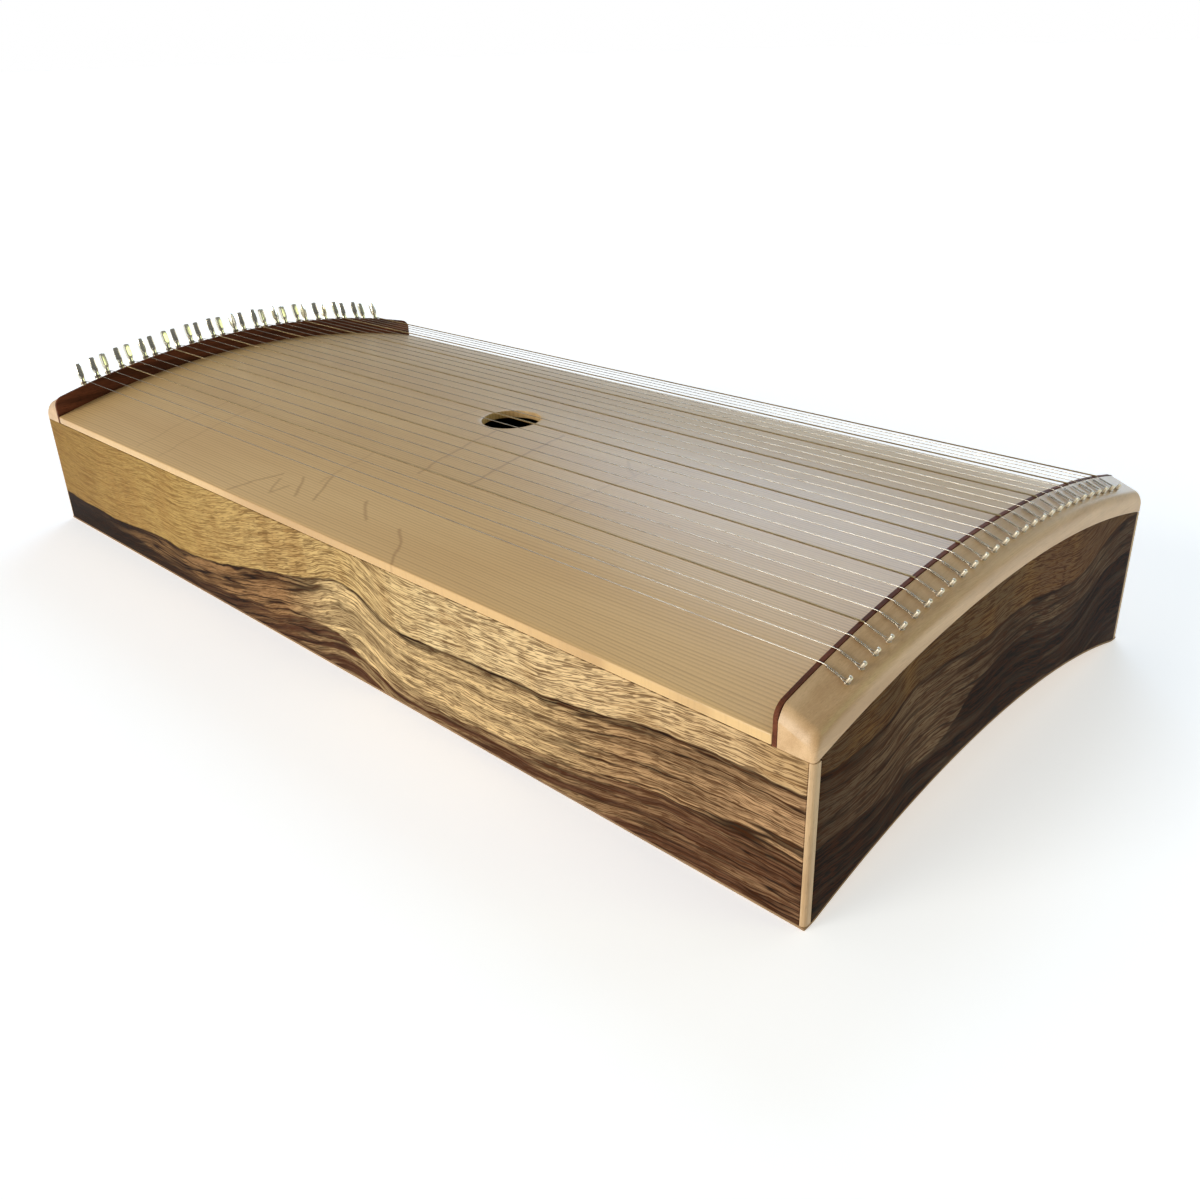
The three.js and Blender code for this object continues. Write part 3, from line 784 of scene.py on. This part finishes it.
def join_rings(shape, rings):
    """Skins a row of closed rings and caps both ends."""
    loops = [[shape.verts.new(point) for point in ring] for ring in rings]
    count = len(loops[0])
    for first, second in zip(loops, loops[1:]):
        for i in range(count):
            j = (i + 1) % count
            shape.faces.new((first[i], first[j], second[j], second[i]))
    shape.faces.new(loops[0][::-1])
    shape.faces.new(loops[-1])


def even_steps(start, end, count):
    return [start + (end - start) * i / count for i in range(count + 1)]


def soften(piece, width, segments=3):
    bevel = piece.modifiers.new("soft_edges", "BEVEL")
    bevel.width = width
    bevel.segments = segments
    bevel.limit_method = "ANGLE"
    bevel.angle_limit = SHARP_CORNER
    bevel.use_clamp_overlap = True


def follow(piece, material, foot, head, sharp_angle=32):
    add_tree(piece, follow_arch, {
        "Top Half Width": HALF_WIDTH, "Top Rise": TOP_RISE, "Hollow Half Width": HOLLOW_HALF_WIDTH,
        "Hollow Rise": HOLLOW_RISE, "Foot Height": foot, "Head Height": head, "Material": material})
    return settle(piece, sharp_angle)


ON_TOP = (-1.0, 0.0)
ON_HOLLOW = (1.0, 2.0)


# %% [markdown]
# ## Side and end panels
# The long sides are flat boards. The ends are cut to the arch of the top and to the hollow of the back, so
# each point is lifted by a mix of the two arches: all hollow at the foot, all top arch at the head.

# %% Side and end panels
def board(name, corner_low, corner_high, across_steps):
    """A flat board, cut into strips across Y so that it can bend."""
    shape = bmesh.new()
    join_rings(shape, [[(corner_low.x, y, corner_low.z), (corner_high.x, y, corner_low.z),
                        (corner_high.x, y, corner_high.z), (corner_low.x, y, corner_high.z)]
                       for y in even_steps(corner_low.y, corner_high.y, across_steps)])
    return from_shape(name, shape)


for node_name, material in (("front_side_panel", front_wood), ("rear_side_panel", rear_wood)):
    panel = board(node_name + "_face", low(node_name), high(node_name), 1)
    soften(panel, 0.4 * MM)
    panel = settle(panel)
    panel.data.materials.append(material)
    place_piece(panel, [node_name])
for node_name, material in (("left_end_panel", left_wood), ("right_end_panel", right_wood)):
    foot, head = low(node_name).z, high(node_name).z - TOP_RISE
    panel = board(node_name + "_face", low(node_name), Vector((*high(node_name).xy, head)), PANEL_STRIPS)
    soften(panel, 0.4 * MM)
    place_piece(follow(panel, material, foot, head), [node_name])
back = board("back_plate_face", low("back_plate"),
             Vector((*high("back_plate").xy, BACK_THICKNESS)), BACK_STRIPS)
soften(back, 0.8 * MM)
place_piece(follow(back, back_wood, *ON_HOLLOW), ["back_plate"])


# %% [markdown]
# ## Soundboard with its hole
# A round hole in a square grid makes ragged faces. The grid is left open around the hole instead, and the
# opening is filled with rings that change step by step from the square to the circle. A Solidify modifier
# gives the sheet its thickness, then it is bent like the other boards.

# %% Soundboard mesh
HOLE_RADIUS = 25 * MM
CELLS = 40
cell = HALF_WIDTH / CELLS
PATCH_CELLS = 8
patch = PATCH_CELLS * cell
SIDE_CELLS = 24   # columns on each side of the patch
PATCH_RINGS = 6   # steps from the square patch to the round hole


def soundboard_sheet(corner_low, corner_high):
    shape = bmesh.new()
    x_lines = (even_steps(corner_low.x, -patch, SIDE_CELLS)[:-1] + even_steps(-patch, patch, 2 * PATCH_CELLS)
               + even_steps(patch, corner_high.x, SIDE_CELLS)[1:])
    y_lines = even_steps(corner_low.y, corner_high.y, 2 * CELLS)
    grid = {}

    def corner(i, j):
        if (i, j) not in grid:
            grid[i, j] = shape.verts.new((x_lines[i], y_lines[j], BOARD_TOP))
        return grid[i, j]

    def in_patch(i, j):
        middle_x, middle_y = (x_lines[i] + x_lines[i + 1]) / 2, (y_lines[j] + y_lines[j + 1]) / 2
        return abs(middle_x) < patch and abs(middle_y) < patch

    for i in range(len(x_lines) - 1):
        for j in range(len(y_lines) - 1):
            if not in_patch(i, j):
                shape.faces.new((corner(i, j), corner(i + 1, j), corner(i + 1, j + 1), corner(i, j + 1)))
    left, front = SIDE_CELLS, CELLS - PATCH_CELLS
    span = 2 * PATCH_CELLS
    rim = ([(left + k, front) for k in range(span)] + [(left + span, front + k) for k in range(span)]
           + [(left + span - k, front + span) for k in range(span)]
           + [(left, front + span - k) for k in range(span)])
    loop = [corner(i, j) for i, j in rim]
    outer = [v.co.copy() for v in loop]
    for share in even_steps(0, 1, PATCH_RINGS)[1:]:
        inner_loop = []
        for point in outer:
            on_circle = Vector((point.x, point.y, 0)).normalized() * HOLE_RADIUS
            rim_point = Vector((on_circle.x, on_circle.y, BOARD_TOP))
            inner_loop.append(shape.verts.new(point.lerp(rim_point, share)))
        for k in range(len(loop)):
            after = (k + 1) % len(loop)
            shape.faces.new((loop[k], loop[after], inner_loop[after], inner_loop[k]))
        loop = inner_loop
    return from_shape("soundboard_sheet", shape)


sheet = soundboard_sheet(low("soundboard"), high("soundboard"))
for face in sheet.data.polygons:
    if face.normal.z < 0:
        face.flip()
thickness = sheet.modifiers.new("thickness", "SOLIDIFY")
thickness.thickness = BOARD_THICKNESS
thickness.offset = -1
soften(sheet, 0.7 * MM)
place_piece(follow(sheet, softwood, *ON_TOP), ["soundboard"])


# %% [markdown]
# ## Bridges and end blocks
# Each end of the top is finished by a thin dark bridge and a pale block behind it. Both are rounded over at
# the front and rear. The block's top falls away from the bridge and rolls over into the end of the box. Both
# are skinned from sections across the box, drawn flat and then bent by the same tree.

# %% Sections across the box
SHOULDER = 7 * MM
SHOULDER_STOP = math.radians(50)
CORNER = 3 * MM
BLOCK_EDGE = 8 * MM
BLOCK_SLOPE = 0.39
BLOCK_STEP = 0.5 * MM
BLOCK_DEPTH = 36 * MM


def shoulder_steps():
    flat = HALF_WIDTH - SHOULDER
    turn = [flat + SHOULDER * math.sin(math.radians(angle)) for angle in range(9, 91, 9)]
    return [-y for y in reversed(turn)] + even_steps(-flat, flat, BRIDGE_STRIPS) + turn


def rounded_drop(y, radius):
    into = max(0.0, abs(y) - (HALF_WIDTH - radius))
    return radius - math.sqrt(max(radius ** 2 - into ** 2, 0.0))


def crisp_drop(y):
    """A shoulder that stops short of upright, so that it meets the side of the block in a clean edge."""
    into = max(0.0, abs(y) - (HALF_WIDTH - SHOULDER)) / SHOULDER
    turn = math.asin(into * math.sin(SHOULDER_STOP))
    return SHOULDER * (1 - math.cos(turn)) / (1 - math.cos(SHOULDER_STOP))


def bridge_mesh(name, start_x, end_x):
    shape = bmesh.new()
    rings = []
    for y in shoulder_steps():
        top = BRIDGE_TOP - rounded_drop(y, SHOULDER)
        rings.append([(start_x, y, BOARD_UNDER), (end_x, y, BOARD_UNDER), (end_x, y, top), (start_x, y, top)])
    join_rings(shape, rings)
    return from_shape(name, shape)


for node_name in ("tuning_bridge", "hitch_bridge"):
    piece = bridge_mesh(node_name + "_strip", low(node_name).x, high(node_name).x)
    soften(piece, 0.7 * MM)
    place_piece(follow(piece, bridge_wood, *ON_TOP), [node_name])
print("sections across each bridge:", len(shoulder_steps()))


# %% End blocks
def block_cap(shape, back, end):
    """The visible part of a block: from the bridge to the end face of the box."""
    slope_angle = math.atan(BLOCK_SLOPE)
    rings = []
    for y in shoulder_steps():
        face = HALF_LENGTH - rounded_drop(y, CORNER)
        top = BRIDGE_TOP - BLOCK_STEP - crisp_drop(y)
        edge_x = face - BLOCK_EDGE
        tangent_x = edge_x + BLOCK_EDGE * math.sin(slope_angle)
        centre_z = top - (tangent_x - back) * BLOCK_SLOPE - BLOCK_EDGE * math.cos(slope_angle)
        section = [(back, SIDE_TOP + GAP), (face, SIDE_TOP + GAP)]
        for angle in even_steps(0, math.pi / 2 - slope_angle, 8):
            section.append((edge_x + BLOCK_EDGE * math.cos(angle), centre_z + BLOCK_EDGE * math.sin(angle)))
        section.append((back, top))
        rings.append([(end * x, y, z) for x, z in section])
    join_rings(shape, rings)


def block_tongue(shape, ledge_x, back, end):
    """The hidden part of a block, which reaches down behind the end panel and under the soundboard."""
    inner = low("right_end_panel").x - GAP
    bottom, under = SIDE_TOP - BLOCK_DEPTH, BOARD_UNDER - GAP
    step = SIDE_TOP + 2 * GAP
    section = [(ledge_x, bottom), (inner, bottom), (inner, step), (back + GAP, step), (back + GAP, under),
               (ledge_x, under)]
    half = high("right_end_panel").y
    join_rings(shape, [[(end * x, y, z) for x, z in section] for y in even_steps(-half, half, TONGUE_STRIPS)])


for node_name, end, bridge in (("tuning_block", -1, "tuning_bridge"), ("hitch_block", 1, "hitch_bridge")):
    back = max(abs(low(bridge).x), abs(high(bridge).x)) + GAP
    ledge_x = min(abs(low(node_name).x), abs(high(node_name).x))
    shape = bmesh.new()
    block_cap(shape, back, end)
    block_tongue(shape, ledge_x, back, end)
    piece = from_shape(node_name + "_body", shape)
    soften(piece, 0.4 * MM, 2)
    place_piece(follow(piece, maple_y, *ON_TOP, sharp_angle=15), [node_name])


# %% Corner strips
def corner_strip(name, corner_low, corner_high, end, side):
    """An upright strip with its outer corner rounded, drawn for one corner and turned by its signs."""
    outer_x, inner_x = (corner_high.x, corner_low.x) if end > 0 else (corner_low.x, corner_high.x)
    outer_y, inner_y = (corner_high.y, corner_low.y) if side > 0 else (corner_low.y, corner_high.y)
    outline = [(inner_x, inner_y), (outer_x, inner_y)]
    for angle in even_steps(0, math.pi / 2, 8):
        outline.append((outer_x - end * CORNER * (1 - math.cos(angle)),
                        outer_y - side * CORNER * (1 - math.sin(angle))))
    outline.append((inner_x, outer_y))
    shape = bmesh.new()
    join_rings(shape, [[(x, y, z) for x, y in outline] for z in (corner_low.z, corner_high.z)])
    piece = from_shape(name, shape)
    soften(piece, 0.25 * MM, 2)
    piece = settle(piece)
    piece.data.materials.append(maple_z)
    return piece


for side_name, side in (("front", -1), ("rear", 1)):
    for end_name, end in (("left", -1), ("right", 1)):
        node_name = f"{side_name}_{end_name}_corner_strip"
        strip = corner_strip(node_name + "_wood", low(node_name), high(node_name), end, side)
        place_piece(strip, [node_name])

# %% [markdown]
# ## Inside the box
# Braces, linings and corner blocks hardly show, except through the sound hole. Their CAD shapes are right as
# they are, so they only get a wood finish, with the grain turned along each piece's longest side.

# %% Inner pieces
inner_count = 0
for node_name, piece in frame["nodes"].items():
    if not any(word in node_name for word in ("brace", "lining", "corner_block")):
        continue
    size = high(node_name) - low(node_name)
    longest = max(range(3), key=lambda axis: size[axis])
    piece.data.materials.clear()
    piece.data.materials.append(brace_woods[longest])
    inner_count += 1
print("inner pieces with a wood finish:", inner_count)

# %% [markdown]
# ## Hitch pins
# At the right end each string ends in a loop round a short steel pin driven into the block. All the pins are
# alike and follow the arch, so a tree places one small turned pin along a line of points.

# %% Where the strings run
pin_names = sorted(name for name in frame["bodies"] if name.startswith("tuning_pin"))
joints = {joint["child"]: joint for joint in frame["joints"]}
feet = [Vector(joints[name]["pos_m"]) for name in pin_names]
axes = [Vector(joints[name]["axis"]) for name in pin_names]
STRING_COUNT = len(pin_names)
PITCH = (feet[-1].y - feet[0].y) / (STRING_COUNT - 1)
HITCH_X = 441.8 * MM
HITCH_BACK = high("hitch_bridge").x + GAP
hitch_drop = BLOCK_STEP + (HITCH_X - HITCH_BACK) * BLOCK_SLOPE
print("strings:", STRING_COUNT, "pitch:", round(PITCH, 5))


# %% A turned shape
def turned_shape(shape, profile, sides, squareness=None):
    """Skins rings of (radius, height); a squareness above 2 makes a ring more square."""
    rings = []
    for index, (radius, height) in enumerate(profile):
        power = squareness[index] if squareness else 2
        ring = []
        for k in range(sides):
            angle = math.tau * (k + 0.5) / sides
            cosine, sine = abs(math.cos(angle)), abs(math.sin(angle))
            reach = radius / (cosine ** power + sine ** power) ** (1 / power)
            ring.append((reach * math.cos(angle), reach * math.sin(angle), height))
        rings.append(ring)
    join_rings(shape, rings)


# %% Geometry Nodes: a row along the arch
row_on_arch, given, made = new_group(
    "row_along_the_arch", "GeometryNodeTree",
    [("Geometry", SHAPE, None), ("Count", "NodeSocketInt", 2), ("Pitch", LENGTH, 0.01),
     ("Along", LENGTH, 0.0), ("Base Height", LENGTH, 0.0), ("Tilt", LENGTH, 0.0),
     ("Half Width", LENGTH, 0.2), ("Rise", LENGTH, 0.03), ("Material", SKIN, None)],
    [("Geometry", SHAPE, None)])
first_y = times(row_on_arch, minus(row_on_arch, given["Count"], 1.0),
                times(row_on_arch, given["Pitch"], -0.5))
row = node(row_on_arch, "GeometryNodeMeshLine", {
    "Count": given["Count"],
    "Start Location": vector(row_on_arch, given["Along"], first_y, given["Base Height"]),
    "Offset": vector(row_on_arch, 0.0, given["Pitch"], 0.0)})
row_y = node(row_on_arch, "ShaderNodeSeparateXYZ",
             {0: node(row_on_arch, "GeometryNodeInputPosition").outputs[0]}).outputs[1]
raised = node(row_on_arch, "GeometryNodeSetPosition", {"Geometry": row.outputs[0], "Offset": vector(
    row_on_arch, 0.0, 0.0, arch_nodes(row_on_arch, row_y, given["Half Width"], given["Rise"]))})
copies = node(row_on_arch, "GeometryNodeInstanceOnPoints", {
    "Points": raised.outputs[0], "Instance": given["Geometry"],
    "Rotation": vector(row_on_arch, 0.0, given["Tilt"], 0.0)})
finish_shape(row_on_arch, copies, given["Material"], made["Geometry"])

# %% Hitch pins
HITCH_PIN_STAND = 5.5 * MM
HITCH_PIN_RADIUS = 1.25 * MM
HITCH_PIN_LEAN = math.radians(30)
shape = bmesh.new()
turned_shape(shape, [(0.7 * MM, -7 * MM), (HITCH_PIN_RADIUS, -6 * MM), (HITCH_PIN_RADIUS, 5.0 * MM),
                     (1.15 * MM, 5.3 * MM), (0.9 * MM, 5.45 * MM), (0.4 * MM, HITCH_PIN_STAND)], 14)
hitch_pins = from_shape("hitch_pins", shape)
add_tree(hitch_pins, row_on_arch, {
    "Count": STRING_COUNT, "Pitch": PITCH, "Along": HITCH_X, "Base Height": BRIDGE_TOP - hitch_drop,
    "Tilt": HITCH_PIN_LEAN, "Half Width": HALF_WIDTH, "Rise": TOP_RISE, "Material": pin_steel})
hitch_pins = place_piece(settle(hitch_pins))
print("hitch pin faces:", len(hitch_pins.data.polygons))

# %% [markdown]
# ## Tuning pins
# Each string is wound on a steel pin with a squared, tapering head that a key fits over. The pins lean back
# against the pull of the strings. One pin is skinned from rings that change from round to square, and a tree
# turns, leans and places a copy for each body, because every pin really turns.

# %% Geometry Nodes: stand a pin
stand_pin, given, made = new_group(
    "stand_a_pin", "GeometryNodeTree",
    [("Geometry", SHAPE, None), ("Foot", PLACE, None), ("Turn", LENGTH, 0.0), ("Lean", LENGTH, 0.0),
     ("Material", SKIN, None)],
    [("Geometry", SHAPE, None)])
turned = node(stand_pin, "GeometryNodeTransform", {"Geometry": given["Geometry"], "Rotation": vector(
    stand_pin, 0.0, 0.0, given["Turn"])})
leaned = node(stand_pin, "GeometryNodeTransform", {
    "Geometry": turned.outputs[0], "Translation": given["Foot"],
    "Rotation": vector(stand_pin, 0.0, given["Lean"], 0.0)})
finish_shape(stand_pin, leaned, given["Material"], made["Geometry"])

# %% Tuning pins
PIN_RINGS = [  # radius, height above the wood, squareness
    (1.5, -18, 2), (2.3, -16, 2), (2.3, 6.2, 2), (2.25, 6.8, 2), (2.3, 7.6, 2.4), (2.5, 8.8, 4),
    (2.65, 10, 6), (2.7, 13, 7), (2.65, 17, 7), (2.5, 20.4, 7), (2.3, 21.3, 5), (1.8, 21.8, 4),
    (0.8, 22, 2)]
turns = random.Random(7)
for name, foot, axis in zip(pin_names, feet, axes):
    shape = bmesh.new()
    turned_shape(shape, [(r * MM, h * MM) for r, h, _ in PIN_RINGS], 24, [s for *_, s in PIN_RINGS])
    pin = from_shape(name + "_steel", shape)
    add_tree(pin, stand_pin, {"Foot": foot, "Turn": math.radians(turns.uniform(-35, 35)),
                              "Lean": math.atan2(axis.x, axis.z), "Material": nickel})
    place_piece(settle(pin), [name], name)
print("tuning pins:", len(pin_names))

# %% [markdown]
# ## Strings
# A string is a wire along a path: up from its pin, over the dark edge of the tuning bridge, straight to the
# hitch bridge, and down to the hitch pin, where it makes a loop and is twisted back on itself. Every fourth
# string is thicker, with a bronze winding. The path is a curve whose points come from the places of the pins
# and bridges; a small tree sweeps a circle along it.

# %% Geometry Nodes: sweep a wire
sweep_wire, given, made = new_group(
    "sweep_a_wire", "GeometryNodeTree",
    [("Geometry", SHAPE, None), ("Radius", LENGTH, 0.0003), ("Sides", "NodeSocketInt", 8),
     ("Material", SKIN, None)],
    [("Geometry", SHAPE, None)])
section = node(sweep_wire, "GeometryNodeCurvePrimitiveCircle", {"Resolution": given["Sides"],
               "Radius": given["Radius"]})
swept = node(sweep_wire, "GeometryNodeCurveToMesh", {"Curve": given["Geometry"],
             "Profile Curve": section.outputs[0], "Fill Caps": True})
finish_shape(sweep_wire, swept, given["Material"], made["Geometry"])


def wire(name, points, radius, material, sides=8):
    data = bpy.data.curves.new(name, "CURVE")
    data.dimensions = "3D"
    spline = data.splines.new("POLY")
    spline.points.add(len(points) - 1)
    for point, place in zip(spline.points, points):
        point.co = (*place, 1)
    piece = bpy.data.objects.new(name, data)
    scene.collection.objects.link(piece)
    add_tree(piece, sweep_wire, {"Radius": radius, "Sides": sides, "Material": material})
    return settle(piece, 80)


# %% String paths
PLAIN_RADIUS = 0.31 * MM
CORE_RADIUS = 0.25 * MM
WOUND_RADIUS = 0.55 * MM
PIN_RADIUS = 2.3 * MM
COIL_HEIGHT = 3.9 * MM
COIL_TURNS = 4
TWIST_TURNS = 4
TWIST_SPREAD = 1.5  # in wire radii
TWIST_BEGINS = 0.22  # share of the way from the bridge to the fork
FORK_REACH = 3.6 * MM
LOOP_LIFT = 1.1 * MM
COVER_START = 0.3  # the winding begins this share of the way from the pin to the bridge
LOOP_HALF_ANGLE = math.radians(125)
STEPS_A_TURN = 20
COIL_PITCH = 2.1  # in wire radii
TUNING_EDGE_X = high("tuning_bridge").x
TUNING_BACK_X = low("tuning_bridge").x
HITCH_EDGE_X = low("hitch_bridge").x


def hitch_loop(y, bridge_z, radius):
    """From the hitch bridge: into the twist, round the pin, and back down the other strand of the twist."""
    away = Vector((1, 0, -BLOCK_SLOPE)).normalized()
    up = Vector((BLOCK_SLOPE, 0, 1)).normalized()
    across = Vector((0, 1, 0))
    lean = Vector((math.sin(HITCH_PIN_LEAN), 0, math.cos(HITCH_PIN_LEAN)))
    pin = Vector((HITCH_X, y, bridge_z - hitch_drop)) + lean * LOOP_LIFT
    loop_radius = HITCH_PIN_RADIUS + radius
    start = Vector((HITCH_BACK, y, bridge_z + radius))
    fork = pin - away * FORK_REACH
    twist_start = start.lerp(fork, TWIST_BEGINS)

    def strand(share, phase):
        angle = math.tau * TWIST_TURNS * share + phase
        out = across * math.cos(angle) + up * math.sin(angle)
        return twist_start.lerp(fork, share) + out * TWIST_SPREAD * radius

    shares = even_steps(0, 1, TWIST_TURNS * 10)
    points = [start] + [strand(share, 0.0) for share in shares]
    for angle in even_steps(LOOP_HALF_ANGLE, -LOOP_HALF_ANGLE, 12):
        points.append(pin + away * math.cos(angle) * loop_radius + across * math.sin(angle) * loop_radius)
    points += [strand(share, math.pi) for share in reversed(shares)]
    return points


def bridge_height(y):
    return BRIDGE_TOP + top_arch(y)


for index, (name, foot, axis) in enumerate(zip(pin_names, feet, axes)):
    number = index + 1
    wound = number % 4 == 0
    radius = CORE_RADIUS if wound else PLAIN_RADIUS
    outer = WOUND_RADIUS if wound else radius
    y = foot.y
    top = bridge_height(y)
    coil_radius = PIN_RADIUS + radius
    leaving = foot + axis * COIL_HEIGHT + Vector((0, 1, 0)) * coil_radius
    path = [leaving, Vector((TUNING_BACK_X - 0.5 * MM, y, top + outer - 0.1 * MM)),
            Vector((TUNING_EDGE_X, y, top + outer)), Vector((HITCH_EDGE_X, y, top + outer))]
    path += hitch_loop(y, top, radius)
    string = wire(f"string_{number:02d}", path, radius, steel)
    place_piece(string)
    if wound:
        cover_path = [path[0].lerp(path[1], COVER_START), path[1], path[2], path[3],
                      path[4] + Vector((0, 0, outer - radius))]
        cover = wire(f"string_{number:02d}_winding", cover_path, outer, bronze, 10)
        place_piece(cover)
    side_way = axis.cross(Vector((0, 1, 0))).normalized()
    coil = []
    for turn in even_steps(0, COIL_TURNS, COIL_TURNS * STEPS_A_TURN):
        angle = math.tau * turn
        height = COIL_HEIGHT - COIL_PITCH * radius * turn
        coil.append(foot + axis * height + Vector((0, 1, 0)) * math.cos(angle) * coil_radius
                    - side_way * math.sin(angle) * coil_radius)
    coil_piece = wire(f"string_{number:02d}_coil", coil, radius, steel, 6)
    place_piece(coil_piece, body=name)
print("strings made:", STRING_COUNT)

# %% Size of the CAD box
print("CAD box", [round(v, 4) for v in cad_high - cad_low])
